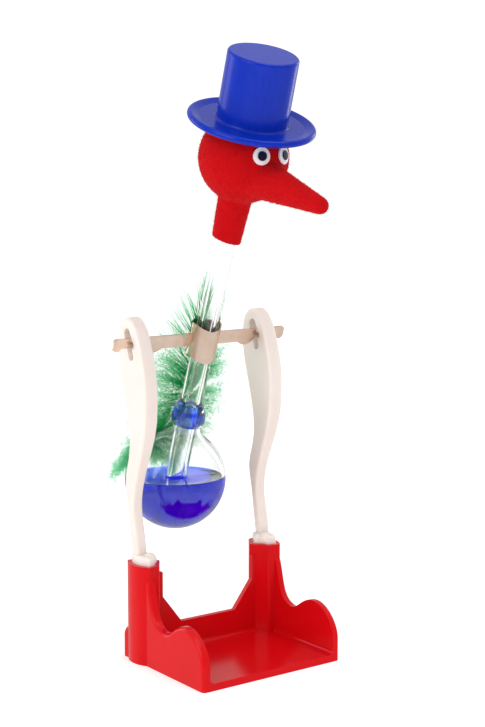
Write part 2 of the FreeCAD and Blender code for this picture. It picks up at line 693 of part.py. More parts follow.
def make_neck_sleeve():
    top = HEAD_CENTRE - FELT_RADIUS + NECK_FELT_OVERLAP
    start = Vector(0, 0, NECK_FELT_BOTTOM)
    height = top - NECK_FELT_BOTTOM
    sleeve = Part.makeCone(NECK_FELT_RADIUS, NECK_FELT_TOP_RADIUS, height, start)
    sleeve = sleeve.cut(Part.makeCylinder(TUBE_RADIUS + GLUE_GAP, height, start))
    return sleeve.cut(Part.makeSphere(FELT_RADIUS + GLUE_GAP, Vector(0, 0, HEAD_CENTRE)))


def eye_direction(side):
    azimuth = math.radians(EYE_TURN_DEG + side * EYE_SPREAD_DEG)
    elevation = math.radians(EYE_ELEVATION_DEG)
    return Vector(
        math.sin(azimuth) * math.cos(elevation),
        -math.cos(azimuth) * math.cos(elevation),
        math.sin(elevation),
    )


def eye_disc(side, radius, low, thickness):
    """A disc that follows the head's curve, from low to low + thickness over the felt."""
    centre = Vector(0, 0, HEAD_CENTRE)
    inside = Part.makeSphere(FELT_RADIUS + low, centre)
    outside = Part.makeSphere(FELT_RADIUS + low + thickness, centre)
    punch = Part.makeCylinder(radius, FELT_RADIUS * 2, centre, eye_direction(side))
    return punch.common(outside).cut(inside)


# ---------------------------------------------------------------- hat

def make_hat():
    """One thin moulding, drawn on its own axis and then set on the head with a slight tip."""
    seat = FELT_RADIUS + GLUE_GAP
    inner = HAT_CROWN_RADIUS - HAT_WALL
    seat_height = math.sqrt(seat ** 2 - inner ** 2)
    brim_top = seat_height + HAT_BRIM_THICKNESS
    crown_top = seat_height + HAT_HEIGHT
    top_inner = HAT_TOP_RADIUS - HAT_WALL
    rim_low = Vector(HAT_BRIM_RADIUS - HAT_RIM_ROUND, 0, seat_height)
    rim_out = Vector(HAT_BRIM_RADIUS, 0, seat_height + HAT_BRIM_THICKNESS * 0.7)
    rim_high = Vector(HAT_BRIM_RADIUS - HAT_RIM_ROUND, 0, brim_top + HAT_RIM_LIFT)
    rim_root = Vector(HAT_BRIM_RADIUS - HAT_RIM_WIDTH, 0, brim_top)
    root = Vector(HAT_CROWN_RADIUS, 0, brim_top)
    edge = Vector(HAT_TOP_RADIUS, 0, crown_top)
    hat = lathe([
        line(Vector(inner, 0, seat_height), rim_low),
        arc(rim_low, rim_out, rim_high),
        line(rim_high, rim_root),
        line(rim_root, root),
        line(root, edge),
        line(edge, Vector(0, 0, crown_top)),
        line(Vector(0, 0, crown_top), Vector(0, 0, crown_top - HAT_WALL)),
        line(Vector(0, 0, crown_top - HAT_WALL), Vector(top_inner, 0, crown_top - HAT_WALL)),
        line(Vector(top_inner, 0, crown_top - HAT_WALL), Vector(inner, 0, seat_height)),
    ])

    def soft_edge(edge_):
        bounds = edge_.BoundBox
        flat = bounds.ZLength < 0.01
        top_rim = abs(bounds.ZMax - crown_top) < 0.01 and bounds.XLength > HAT_TOP_RADIUS
        crown_root = abs(bounds.ZMax - brim_top) < 0.01 and bounds.XMax < HAT_CROWN_RADIUS + 0.01
        return flat and (top_rim or crown_root)

    hat = rounded(hat, HAT_EDGE_ROUND, soft_edge)
    hat.rotate(Vector(0, 0, 0), ACROSS, HAT_PITCH_DEG)
    hat.rotate(Vector(0, 0, 0), Vector(0, 1, 0), HAT_ROLL_DEG)
    hat.translate(Vector(HAT_SHIFT_X, HAT_SHIFT_Y, HEAD_CENTRE))
    return hat


# ---------------------------------------------------------------- feather

def bend_centre():
    return Vector(0, QUILL_Y + QUILL_BEND_RADIUS, QUILL_BEND_Z)


def on_bend(radius, degrees):
    """A point below the clamp on a circle about the quill's bend centre."""
    angle = math.radians(degrees)
    return bend_centre() + Vector(0, -radius * math.cos(angle), -radius * math.sin(angle))


def make_quill():
    top = Vector(0, QUILL_Y, QUILL_TOP)
    bend = Vector(0, QUILL_Y, QUILL_BEND_Z)
    path = Part.Wire([
        line(top, bend),
        arc(bend, on_bend(QUILL_BEND_RADIUS, QUILL_BEND_DEG / 2), on_bend(QUILL_BEND_RADIUS, QUILL_BEND_DEG)),
    ])
    section = Part.Wire(Part.makeCircle(QUILL_RADIUS, top, UP))
    return path.makePipeShell([section], True, False)


def make_vane():
    """The flat webbed upper part, behind the clamp."""
    mid = (VANE_BOTTOM + VANE_TOP) / 2 - 4
    half = [
        Vector(0, 0, VANE_BOTTOM),
        Vector(VANE_HALF_WIDTH, 0, mid - 2),
        Vector(VANE_HALF_WIDTH, 0, mid + 6),
        Vector(VANE_TIP_HALF_WIDTH, 0, VANE_TOP - 3),
        Vector(0, 0, VANE_TOP),
    ]
    other = [Vector(-point.x, 0, point.z) for point in reversed(half[1:-1])]
    plate = polygon(half + other).extrude(Vector(0, VANE_THICKNESS, 0))
    plate.translate(Vector(0, BACK_LEAF_REACH + LEAF_THICKNESS + FEATHER_GAP, 0))
    return plate


def make_down():
    """The fluffy lower part: a curved pad behind the quill with an oval outline."""
    outer = QUILL_BEND_RADIUS - QUILL_RADIUS - FEATHER_GAP
    inner = outer - DOWN_THICKNESS
    middle = (DOWN_START_DEG + QUILL_BEND_DEG) / 2
    ends = (DOWN_START_DEG, middle, QUILL_BEND_DEG)
    section = face_of([
        arc(*[on_bend(outer, angle) for angle in ends]),
        arc(*[on_bend(inner, angle) for angle in ends]),
        line(on_bend(outer, ends[0]), on_bend(inner, ends[0])),
        line(on_bend(outer, ends[-1]), on_bend(inner, ends[-1])),
    ])
    pad = section.extrude(ACROSS * (2 * DOWN_HALF_WIDTH))
    pad.translate(ACROSS * -DOWN_HALF_WIDTH)
    low = on_bend(inner, QUILL_BEND_DEG).z
    high = on_bend(outer, DOWN_START_DEG).z
    return pad.common(oval_bar(DOWN_HALF_WIDTH * 1.06, (high - low) * 0.66, (high + low) / 2))


def oval_bar(half_width, half_height, level):
    """A long bar along Y with an oval section, its axis at the height level."""
    bar = Part.makeCylinder(1.0, BASE_WIDTH * 2, Vector(0, -BASE_WIDTH, 0), Vector(0, 1, 0))
    stretch = FreeCAD.Matrix()
    stretch.scale(half_width, 1.0, half_height)
    return bar.transformGeometry(stretch).translate(Vector(0, 0, level))


# ---------------------------------------------------------------- placing and writing

def set_on_tube(shape):
    """Glass and felt are drawn on the tube's axis, which lies a little in front of the pivot."""
    return shape.translate(Vector(0, -TUBE_OFFSET, 0))


def set_on_stand(shape):
    """Tilt a piece of the bird forward about the pivot and put it on the stand."""
    shape.rotate(Vector(0, 0, 0), ACROSS, REST_TILT_DEG)
    return shape.translate(Vector(0, PIVOT_Y, PIVOT_Z))


def stand_pieces():
    right_leg = make_leg()
    return {"base_tray": make_base(), "left_leg": mirrored(right_leg), "right_leg": right_leg}


def clamp_and_feather():
    return {
        "pivot_front_leaf": make_leaf(True, TUBE_RADIUS + TUBE_OFFSET + LEAF_THICKNESS),
        "pivot_back_leaf": make_leaf(False, BACK_LEAF_REACH + LEAF_THICKNESS),
        "feather_quill": make_quill(),
        "feather_vane": make_vane(),
        "feather_down": make_down(),
    }


def pieces_on_tube():
    pieces = {
        "stem_tube": make_stem_tube(),
        "lower_bulb": make_lower_bulb(),
        "seal_ring": make_seal_ring(),
        "head_bulb": make_head_bulb(),
        "dyed_liquid": make_liquid(),
        "felt_head_cover": make_head_cover(),
        "felt_neck_sleeve": make_neck_sleeve(),
        "felt_beak_cover": make_beak_cover(),
        "beak_core": make_beak_core(),
        "top_hat": make_hat(),
    }
    for name, side in (("left", -1), ("right", 1)):
        pieces[name + "_eye_white"] = eye_disc(side, EYE_RADIUS, GLUE_GAP, EYE_THICKNESS)
        pupil_low = 2 * GLUE_GAP + EYE_THICKNESS
        pieces[name + "_pupil"] = eye_disc(side, PUPIL_RADIUS, pupil_low, PUPIL_THICKNESS)
    return pieces


def main():
    os.makedirs("parts", exist_ok=True)
    pieces = stand_pieces()
    for name, shape in clamp_and_feather().items():
        pieces[name] = set_on_stand(shape)
    for name, shape in pieces_on_tube().items():
        pieces[name] = set_on_stand(set_on_tube(shape))
    for name, shape in pieces.items():
        print(name, "solids", len(shape.Solids), "valid", shape.isValid(), "mm3", round(shape.Volume, 1))
        shape.exportStep("parts/" + name + ".step")


main()
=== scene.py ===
import json
import math
import random

import bmesh
import bpy
from mathutils import Matrix, Vector
from mathutils.geometry import interpolate_bezier


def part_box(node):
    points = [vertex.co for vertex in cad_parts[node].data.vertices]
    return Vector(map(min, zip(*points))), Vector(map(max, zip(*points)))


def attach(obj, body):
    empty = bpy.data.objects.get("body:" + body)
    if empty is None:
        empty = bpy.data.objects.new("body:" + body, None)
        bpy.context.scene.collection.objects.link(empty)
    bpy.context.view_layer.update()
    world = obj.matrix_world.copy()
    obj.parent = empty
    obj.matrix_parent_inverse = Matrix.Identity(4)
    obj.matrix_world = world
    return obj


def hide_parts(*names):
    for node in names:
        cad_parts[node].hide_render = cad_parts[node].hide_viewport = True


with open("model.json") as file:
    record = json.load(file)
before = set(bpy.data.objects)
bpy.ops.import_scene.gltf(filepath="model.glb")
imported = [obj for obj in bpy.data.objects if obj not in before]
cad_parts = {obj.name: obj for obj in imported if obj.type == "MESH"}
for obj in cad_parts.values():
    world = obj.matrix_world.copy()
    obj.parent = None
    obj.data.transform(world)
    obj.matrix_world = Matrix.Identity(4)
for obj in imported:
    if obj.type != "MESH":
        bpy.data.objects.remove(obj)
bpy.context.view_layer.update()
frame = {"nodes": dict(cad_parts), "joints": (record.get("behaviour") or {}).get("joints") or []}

# The looks of a drinking bird on its stand. The made pieces of the bird are drawn in millimetres in its
# own frame, whose origin is the pivot and whose Z axis is parallel to the glass tube, and are then set
# in place by one matrix.

MM = 0.001
PIVOT = Vector(frame["joints"][0]["pos_m"])
REST_TILT_DEG = 20.0
SHARP_DEG = 40.0

# ---- Camera ----
CAMERA_PLACE = (-0.24065, -0.3339, 0.13664)
CAMERA_PITCH_DEG = 82.33
CAMERA_TURN_DEG = -36.23
CAMERA_LENS_MM = 77.1
SENSOR_MM = 36.0
CLIP_START = 0.01

# ---- Light ----
ROOM_STRENGTH = 0.82
BACKDROP_STRENGTH = 1.1
BACKDROP_EDGE_STRENGTH = 0.35
MIRRORED_ROOM_FRONT = 0.12
MIRRORED_ROOM_BACK = 0.62
MIRRORED_FLOOR = 0.8
FLOOR_GLOW = 0.24
FLOOR_HALF_WIDTH = 4.0
LIGHT_BOUNCES = 32
ROOM_AHEAD = (0.35, 0.9, 0.25)          # the way from the room's front to its back, a little up

# Soft boxes: name, place, point aimed at, width and height, power in watts
SOFT_BOXES = (
    ("left_box", (-0.55, -0.15, 0.35), (0, 0, 0.08), (0.35, 0.5), 1.3),
    ("top_box", (0.1, -0.2, 0.7), (0, 0, 0.05), (0.4, 0.4), 1.0),
    ("left_edge_box", (-0.35, 0.6, 0.2), (0, 0, 0.1), (0.25, 0.6), 0.6),
    ("right_edge_box", (0.7, 0.17, 0.25), (0, 0, 0.1), (0.15, 0.6), 0.6),
)

# ---- Glass and liquid, mm in the tube's frame ----
TUBE_OFFSET = 1.75
TUBE_RADIUS = 3.05
TUBE_BORE_RADIUS = 1.6
TUBE_BOTTOM = -51.3
TUBE_TOP = 45.2
BULB_RADIUS = 14.3
BULB_CENTRE = -42.2
BULB_WALL = 0.85
BULB_SHOULDER_ANGLE_DEG = 48.0
BULB_STEPS = 40
BULB_NECK_RADIUS = 4.1
BULB_NECK_HANDLE = 0.45                 # share of the way from shoulder to neck
BULB_NECK_STEPS = 20
RING_BOTTOM = -24.4
RING_HEIGHT = 6.2
RING_RADIUS = 4.6
LIP_LOW_BULGE = 0.55                    # the two control points of the seal's outline: how far past
LIP_LOW_RISE = 0.8                      # RING_RADIUS they lie, and how far inside the seal's height
LIP_HIGH_BULGE = 0.35
LIP_HIGH_DROP = 1.6
LIP_STEPS = 16
RIM_STEPS = 10
LIQUID_DENSITY = 290.0                  # how fast the dye takes light away, per metre
FILM_DENSITY = 18.0
POCKET_TOP = 4.4                        # the hollow under the seal: heights above RING_BOTTOM
POCKET_WALL = ((3.55, 3.7), (3.85, 2.3), (3.65, 1.0))
FILM_FOOT = 0.2
LIQUID_BELOW_RING = 2.0
WETTED_OVERLAP = 0.04
MENISCUS_WIDTH = 0.8
MENISCUS_DEPTH = 0.45
MENISCUS_STEPS = 4
TURN_STEPS = 96
TURN_MERGE = 1e-4

# ---- Felt ----
HEAD_CENTRE = 53.6
FELT_RADIUS = 11.85
HEAD_SEGMENTS = 64
HEAD_RINGS = 32
NECK_BOTTOM = 30.6
NECK_RADIUS = 3.95
NECK_TOP_RADIUS = 4.6
NECK_BORE_RADIUS = 3.1
NECK_IN_HEAD = 3.0
NECK_EDGE_INSET = 0.2
NECK_EDGE_RISE = 0.3
NECK_TURN_STEPS = 64
NECK_CUT_SLOPE = 0.16
NECK_CUT_REACH = 4.0
BEAK_LENGTH = 35.8
BEAK_TIP_RADIUS = 2.15
BEAK_ROOT_RADIUS = 5.5
BEAK_ROOT_REACH = 7.6
BEAK_ROOT_DROP = 2.5
BEAK_RISE_DEG = 5.3
BEAK_BURIED = 4.0
BEAK_TIP_STEPS = 12
BEAK_TURN_STEPS = 48
FELT_VOXEL = 0.34
RELAX = 0.5
JOIN_REACH = 2.2
JOIN_TOP = 6.0                          # above the head's centre
JOIN_PASSES = 6
FLOCK_SEED = 7
FLOCK_LENGTH = 0.42
FLOCK_LENGTH_SHARES = (0.5, 1.2)
FLOCK_RADIUS = 0.035
FLOCK_TIP_SHARE = 0.3
FLOCK_LEAN = 0.35
FLOCK_STANDS_OFF = 0.4                  # share of a fibre's length from the felt to its middle
FLOCK_COUNT = 9000
FLOCK_BATCH = 300
EYE_ROUGHNESS = 0.35

# ---- Feather ----
QUILL_Y = 1.7
QUILL_BEND_Z = -6.0
QUILL_BEND_RADIUS = 48.6
SHAFT_TOP = 14.5
SHAFT_BOTTOM = -48.0
SHAFT_STEPS = 40
SHAFT_TIP_RADIUS = 0.12
SHAFT_ROOT_RADIUS = 0.42
STRAND_SIDES = 4
POINT_MERGE = 1e-5
FEATHER_SEED = 20

# One barb. A spread is the standard deviation of a random draw, and a pair is a draw's two ends.
BARB_STEPS = 8
BARB_THINNING = 0.8
BARB_THINNING_POWER = 1.5
BARB_WANDER_DEG = 12.0
BARB_WAVE = 5.0
BARB_WAVE_SHIFT = 9.0
BARB_WANDER_BACK = 0.2
BULB_CLEARANCE = 0.5
FIBRE_GAPS = 0.2

VANE_TOP = 13.0
VANE_BOTTOM = -17.0
VANE_CLUMPS = 22
VANE_CLUMP_PLACES = (0.2, 0.8)
VANE_CLUMP_BARBS = 6
VANE_TOP_RISE_DEG = 7.0
VANE_RISE_GAIN_DEG = 44.0
VANE_RISE_SPREAD_DEG = 3.0
VANE_TOP_LENGTH = 7.0
VANE_LENGTH_GAIN = 10.0
VANE_LENGTH_SHARES = (0.8, 1.15)
VANE_RIGHT_SHARE = 0.72
VANE_CURLS_DEG = (-4.0, 22.0)
VANE_BARB_OFFSETS = (-0.5, 0.5)
VANE_BARB_SHARES = (0.75, 1.05)
VANE_BARB_RISE_SPREAD_DEG = 2.2
VANE_BARB_CURL_SPREAD_DEG = 2.5
VANE_BARB_RADIUS = 0.1
VANE_LIFT = 0.04
VANE_LIFT_SPREAD = 0.05

DOWN_TOP = -9.0
DOWN_BOTTOM = -47.0
DOWN_BARBS = 210
DOWN_LENGTH = 16.5
DOWN_LENGTH_SHARES = (0.7, 1.08)
DOWN_END_SHARE = 0.9
DOWN_MIDDLE_GAIN = 0.1
DOWN_RIGHT_SHARE = 0.85
DOWN_TOP_RISE_DEG = 48.0
DOWN_RISE_GAIN_DEG = 52.0
DOWN_RISE_SPREAD_DEG = 12.0
DOWN_CURL_DEG = 8.0
DOWN_CURL_SPREAD_DEG = 16.0
DOWN_BARB_RADIUS = 0.075
DOWN_LIFT = 0.08
DOWN_LIFT_SPREAD = 0.1
DOWN_DROOP = 0.95

BARBULES_PER_STEP = 8
BARBULE_RADIUS = 0.035
BARBULE_LENGTHS = (0.9, 2.1)
BARBULE_FLATNESS = 0.45
BARBULE_LEAN = 0.9
BARBULE_MIDDLE = 0.4
BARBULE_PALER = 0.2

rest_tilt = Matrix.Rotation(math.radians(REST_TILT_DEG), 4, "X")
bird_frame = Matrix.Translation(PIVOT) @ rest_tilt @ Matrix.Scale(MM, 4)
tube_frame = bird_frame @ Matrix.Translation((0, -TUBE_OFFSET, 0))
WORLD_DOWN = (bird_frame.inverted().to_3x3() @ Vector((0, 0, -1))).normalized()


# ---------------------------------------------------------------- helpers

def colour(code):
    """An sRGB hex colour as the linear values that a shader takes."""
    channels = [int(code[i:i + 2], 16) / 255 for i in (1, 3, 5)]
    return [c / 12.92 if c <= 0.04045 else ((c + 0.055) / 1.055) ** 2.4 for c in channels] + [1.0]


def node(tree, kind, inputs=None, **settings):
    """One node; inputs maps an input's name or number to a value or to the output that feeds it."""
    made = tree.nodes.new("ShaderNode" + kind)
    for name, value in settings.items():
        setattr(made, name, value)
    for key, value in (inputs or {}).items():
        if isinstance(value, bpy.types.NodeSocket):
            tree.links.new(value, made.inputs[key])
        else:
            made.inputs[key].default_value = value
    return made


def new_material(name):
    """An empty material and its node tree."""
    made = bpy.data.materials.new(name)
    made.use_nodes = True
    made.node_tree.nodes.clear()
    return made, made.node_tree


def surface(tree, shader, volume=None):
    """Ends a material in its shader, and in what fills it when it is clear."""
    out = node(tree, "OutputMaterial", {"Surface": shader.outputs[0]})
    if volume:
        tree.links.new(volume.outputs[0], out.inputs["Volume"])


def scaled(size_mm):
    """The Scale of a pattern on Object coordinates whose features are size_mm across."""
    return 1 / (size_mm * MM)


def finished(name, bm, place, body, material, replaced=()):
    """A piece from a bmesh drawn in the frame place: moved there, given its finish, and set on its body."""
    bmesh.ops.transform(bm, matrix=place, verts=bm.verts)
    mesh = bpy.data.meshes.new(name)
    bm.to_mesh(mesh)
    bm.free()
    return placed(name, mesh, body, material, replaced)


def placed(name, mesh, body, material, replaced=()):
    """A visible piece: its mesh, its finish, the body it rides and the nodes it stands for."""
    piece = bpy.data.objects.new(name, mesh)
    bpy.context.scene.collection.objects.link(piece)
    mesh.materials.clear()
    mesh.materials.append(material)
    mesh.shade_smooth()
    mesh.set_sharp_from_angle(angle=math.radians(SHARP_DEG))
    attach(piece, body)
    if replaced:
        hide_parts(*replaced)
    return piece


def arc_points(centre, radius, start_deg, end_deg, steps):
    """Points (radius, height) on an arc of the section, angles from the level outward direction."""
    points = []
    for i in range(steps + 1):
        angle = math.radians(start_deg + (end_deg - start_deg) * i / steps)
        points.append((centre[0] + radius * math.cos(angle), centre[1] + radius * math.sin(angle)))
    return points


def turned(section, steps=TURN_STEPS):
    """A solid turned about Z from its section of (radius, height), closed at the axis or on itself."""
    bm = bmesh.new()
    verts = [bm.verts.new((max(r, 0.0), 0, z)) for r, z in section]
    edges = [bm.edges.new(pair) for pair in zip(verts, verts[1:])]
    if section[0][0] > 0 or section[-1][0] > 0:
        edges.append(bm.edges.new((verts[-1], verts[0])))
    bmesh.ops.spin(
        bm, geom=verts + edges, cent=(0, 0, 0), axis=(0, 0, 1), angle=math.tau, steps=steps, use_merge=True)
    bmesh.ops.remove_doubles(bm, verts=bm.verts, dist=TURN_MERGE)
    bmesh.ops.recalc_face_normals(bm, faces=bm.faces)
    return bm


# ---------------------------------------------------------------- materials

def red_abs():
    """Injection-moulded ABS, polished mould: deep glossy red, with the faint swim of a moulded face."""
    made, tree = new_material("glossy_red_abs")
    where = node(tree, "TexCoord").outputs["Object"]
    swim = node(tree, "TexNoise", {"Vector": where, "Scale": scaled(9), "Detail": 2.0})
    grain = node(tree, "TexNoise", {"Vector": where, "Scale": scaled(0.25), "Detail": 3.0})
    tone = node(tree, "Mix", {
        0: swim.outputs["Fac"], 6: colour("#C80810"), 7: colour("#D40A13")}, data_type="RGBA")
    rough = node(tree, "MapRange", {"Value": grain.outputs["Fac"], "To Min": 0.12, "To Max": 0.24})
    waves = node(tree, "Bump", {"Height": swim.outputs["Fac"], "Strength": 0.08, "Distance": 0.4 * MM})
    fine = node(tree, "Bump", {
        "Height": grain.outputs["Fac"], "Strength": 0.05, "Distance": 0.03 * MM,
        "Normal": waves.outputs[0]})
    surface(tree, node(tree, "BsdfPrincipled", {
        "Base Color": tone.outputs[2], "Roughness": rough.outputs[0], "IOR": 1.54,
        "Specular IOR Level": 0.2, "Normal": fine.outputs[0],
        "Subsurface Weight": 0.05, "Subsurface Scale": 1.0,
        "Subsurface Radius": (0.8 * MM, 0.1 * MM, 0.1 * MM)}))
    return made


def ivory_polypropylene():
    """Moulded polypropylene, unpigmented: milky and slightly see-through, warm where it is thick."""
    made, tree = new_material("ivory_polypropylene")
    where = node(tree, "TexCoord").outputs["Object"]
    cloud = node(tree, "TexNoise", {"Vector": where, "Scale": scaled(12), "Detail": 3.0})
    grain = node(tree, "TexNoise", {"Vector": where, "Scale": scaled(0.4), "Detail": 2.0})
    tone = node(tree, "Mix", {
        0: cloud.outputs["Fac"], 6: colour("#E8DFDA"), 7: colour("#E2D8D0")}, data_type="RGBA")
    rough = node(tree, "MapRange", {"Value": grain.outputs["Fac"], "To Min": 0.3, "To Max": 0.42})
    bump = node(tree, "Bump", {"Height": grain.outputs["Fac"], "Strength": 0.08, "Distance": 0.04 * MM})
    surface(tree, node(tree, "BsdfPrincipled", {
        "Base Color": tone.outputs[2], "Roughness": rough.outputs[0], "IOR": 1.49,
        "Normal": bump.outputs[0],
        "Subsurface Weight": 0.6, "Subsurface Scale": 1.0,
        "Subsurface Radius": (2.4 * MM, 1.8 * MM, 1.3 * MM)}))
    return made


def stamped_steel():
    """Stamped strip steel with a thin copper flash: rolled lines along the strip, and a random mottle of
    lighter and darker copper.
    """
    made, tree = new_material("copper_flashed_steel")
    where = node(tree, "TexCoord").outputs["Object"]
    along = node(tree, "Mapping", {"Vector": where, "Scale": (0.04, 1.0, 1.0)})
    lines = node(tree, "TexNoise", {"Vector": along.outputs[0], "Scale": scaled(0.18), "Detail": 4.0})
    copper_mottle = node(tree, "TexNoise", {"Vector": where, "Scale": scaled(3.2), "Detail": 5.0})
    tone = node(tree, "Mix", {
        0: copper_mottle.outputs["Fac"], 6: colour("#E2C0A8"), 7: colour("#F6E2D4")}, data_type="RGBA")
    rough = node(tree, "MapRange", {"Value": lines.outputs["Fac"], "To Min": 0.16, "To Max": 0.3})
    bump = node(tree, "Bump", {"Height": lines.outputs["Fac"], "Strength": 0.12, "Distance": 0.02 * MM})
    surface(tree, node(tree, "BsdfPrincipled", {
        "Base Color": tone.outputs[2], "Metallic": 1.0, "Roughness": rough.outputs[0],
        "Normal": bump.outputs[0]}))
    return made


def lamp_glass():
    """Soda-lime glass worked in a flame: clear, with the slow waves that the flame leaves."""
    made, tree = new_material("lampworked_glass")
    where = node(tree, "TexCoord").outputs["Object"]
    waves = node(tree, "TexNoise", {"Vector": where, "Scale": scaled(5), "Detail": 1.0})
    bump = node(tree, "Bump", {"Height": waves.outputs["Fac"], "Strength": 0.15, "Distance": 0.12 * MM})
    surface(tree, node(tree, "BsdfPrincipled", {
        "Base Color": colour("#FCFEFD"), "Roughness": 0.0, "IOR": 1.5, "Transmission Weight": 1.0,
        "Normal": bump.outputs[0]}))
    return made


def dyed_liquid(name, density):
    """Dyed methylene chloride: clear, but so strongly coloured that a few millimetres look deep blue."""
    made, tree = new_material(name)
    shader = node(tree, "BsdfPrincipled", {
        "Base Color": colour("#6A94FF"), "Roughness": 0.0, "IOR": 1.42, "Transmission Weight": 1.0})
    depth = node(tree, "VolumeAbsorption", {"Color": colour("#0634F2"), "Density": density})
    surface(tree, shader, depth)
    return made


def red_felt():
    """Flocked felt: short rayon fibres stood on end, dull in front and brighter at a grazing angle."""
    made, tree = new_material("flocked_red_felt")
    where = node(tree, "TexCoord").outputs["Object"]
    fibres = node(tree, "TexNoise", {
        "Vector": where, "Scale": scaled(0.22), "Detail": 4.0, "Roughness": 0.7})
    clumps = node(tree, "TexNoise", {"Vector": where, "Scale": scaled(2.4), "Detail": 3.0})
    tone = node(tree, "Mix", {
        0: clumps.outputs["Fac"], 6: colour("#AD040B"), 7: colour("#BF0810")}, data_type="RGBA")
    bump = node(tree, "Bump", {"Height": fibres.outputs["Fac"], "Strength": 0.5, "Distance": 0.12 * MM})
    surface(tree, node(tree, "BsdfPrincipled", {
        "Base Color": tone.outputs[2], "Roughness": 0.95, "Specular IOR Level": 0.1,
        "Normal": bump.outputs[0],
        "Sheen Weight": 0.25, "Sheen Roughness": 0.45, "Sheen Tint": colour("#FF3A3A")}))
    return made


def hat_polyethylene():
    """Moulded polyethylene: waxy royal blue, half gloss, with faint flow marks round the crown."""
    made, tree = new_material("waxy_blue_polyethylene")
    where = node(tree, "TexCoord").outputs["Object"]
    flow = node(tree, "Mapping", {"Vector": where, "Scale": (1.0, 1.0, 0.12)})
    marks = node(tree, "TexNoise", {"Vector": flow.outputs[0], "Scale": scaled(1.1), "Detail": 3.0})
    haze = node(tree, "TexNoise", {"Vector": where, "Scale": scaled(0.5), "Detail": 2.0})
    tone = node(tree, "Mix", {
        0: marks.outputs["Fac"], 6: colour("#05249C"), 7: colour("#0930B2")}, data_type="RGBA")
    rough = node(tree, "MapRange", {"Value": haze.outputs["Fac"], "To Min": 0.16, "To Max": 0.26})
    bump = node(tree, "Bump", {"Height": haze.outputs["Fac"], "Strength": 0.08, "Distance": 0.03 * MM})
    surface(tree, node(tree, "BsdfPrincipled", {
        "Base Color": tone.outputs[2], "Roughness": rough.outputs[0], "IOR": 1.5,
        "Specular IOR Level": 0.22, "Normal": bump.outputs[0],
        "Subsurface Weight": 0.1, "Subsurface Scale": 1.0,
        "Subsurface Radius": (0.2 * MM, 0.3 * MM, 1.2 * MM)}))
    return made


def eye_plastic(name, light, dark, roughness):
    """Printed vinyl disc: an even colour with a soft print mottle."""
    made, tree = new_material(name)
    where = node(tree, "TexCoord").outputs["Object"]
    mottle = node(tree, "TexNoise", {"Vector": where, "Scale": scaled(0.6), "Detail": 3.0})
    tone = node(tree, "Mix", {
        0: mottle.outputs["Fac"], 6: colour(dark), 7: colour(light)}, data_type="RGBA")
    bump = node(tree, "Bump", {"Height": mottle.outputs["Fac"], "Strength": 0.05, "Distance": 0.03 * MM})
    surface(tree, node(tree, "BsdfPrincipled", {
        "Base Color": tone.outputs[2], "Roughness": roughness, "IOR": 1.5, "Normal": bump.outputs[0]}))
    return made


def dyed_feather(name, deep, pale):
    """Dyed down: emerald near the shaft, bleaching to pale mint at the tips, and thin enough to glow."""
    made, tree = new_material(name)
    tips = node(tree, "Attribute", attribute_name="tip")
    where = node(tree, "TexCoord").outputs["Object"]
    streak = node(tree, "TexNoise", {"Vector": where, "Scale": scaled(3.5), "Detail": 3.0})
    share = node(tree, "Math", {
        0: streak.outputs["Fac"], 1: 0.7, 2: tips.outputs["Fac"]}, operation="MULTIPLY_ADD")
    fade = node(tree, "MapRange", {"Value": share.outputs[0], "From Min": 0.75, "From Max": 1.45})
    tone = node(tree, "Mix", {0: fade.outputs[0], 6: colour(deep), 7: colour(pale)}, data_type="RGBA")
    front = node(tree, "BsdfPrincipled", {
        "Base Color": tone.outputs[2], "Roughness": 0.7, "Specular IOR Level": 0.15})
    through = node(tree, "BsdfTranslucent", {"Color": tone.outputs[2]})
    fibre = node(tree, "MixShader", {0: 0.5, 1: front.outputs[0], 2: through.outputs[0]})
    gaps = node(tree, "BsdfTransparent")
    surface(tree, node(tree, "MixShader", {0: FIBRE_GAPS, 1: fibre.outputs[0], 2: gaps.outputs[0]}))
    return made


def floor_paper():
    """A pale paper sweep, lifted a little by its own glow so that it meets the room without a line."""
    made, tree = new_material("pale_paper")
    surface(tree, node(tree, "BsdfPrincipled", {
        "Base Color": colour("#FDFDFD"), "Roughness": 0.9,
        "Emission Color": colour("#FFFFFF"), "Emission Strength": FLOOR_GLOW}))
    return made


# ---------------------------------------------------------------- glass and liquid

def bulb_section(inset):
    """The bulb from its bottom pole to its neck, moved inward by inset."""
    radius = BULB_RADIUS - inset
    side = arc_points((0, BULB_CENTRE), radius, -90, BULB_SHOULDER_ANGLE_DEG, BULB_STEPS)
    angle = math.radians(BULB_SHOULDER_ANGLE_DEG)
    shoulder = Vector((side[-1][0], side[-1][1]))
    neck = Vector((BULB_NECK_RADIUS - inset, RING_BOTTOM))
    handle = (neck - shoulder).length * BULB_NECK_HANDLE
    leaving = Vector((-math.sin(angle), math.cos(angle)))
    below_neck = neck - Vector((0, handle))
    curve = interpolate_bezier(shoulder, shoulder + leaving * handle, below_neck, neck, BULB_NECK_STEPS)
    return side + [(p[0], p[1]) for p in curve[1:]]


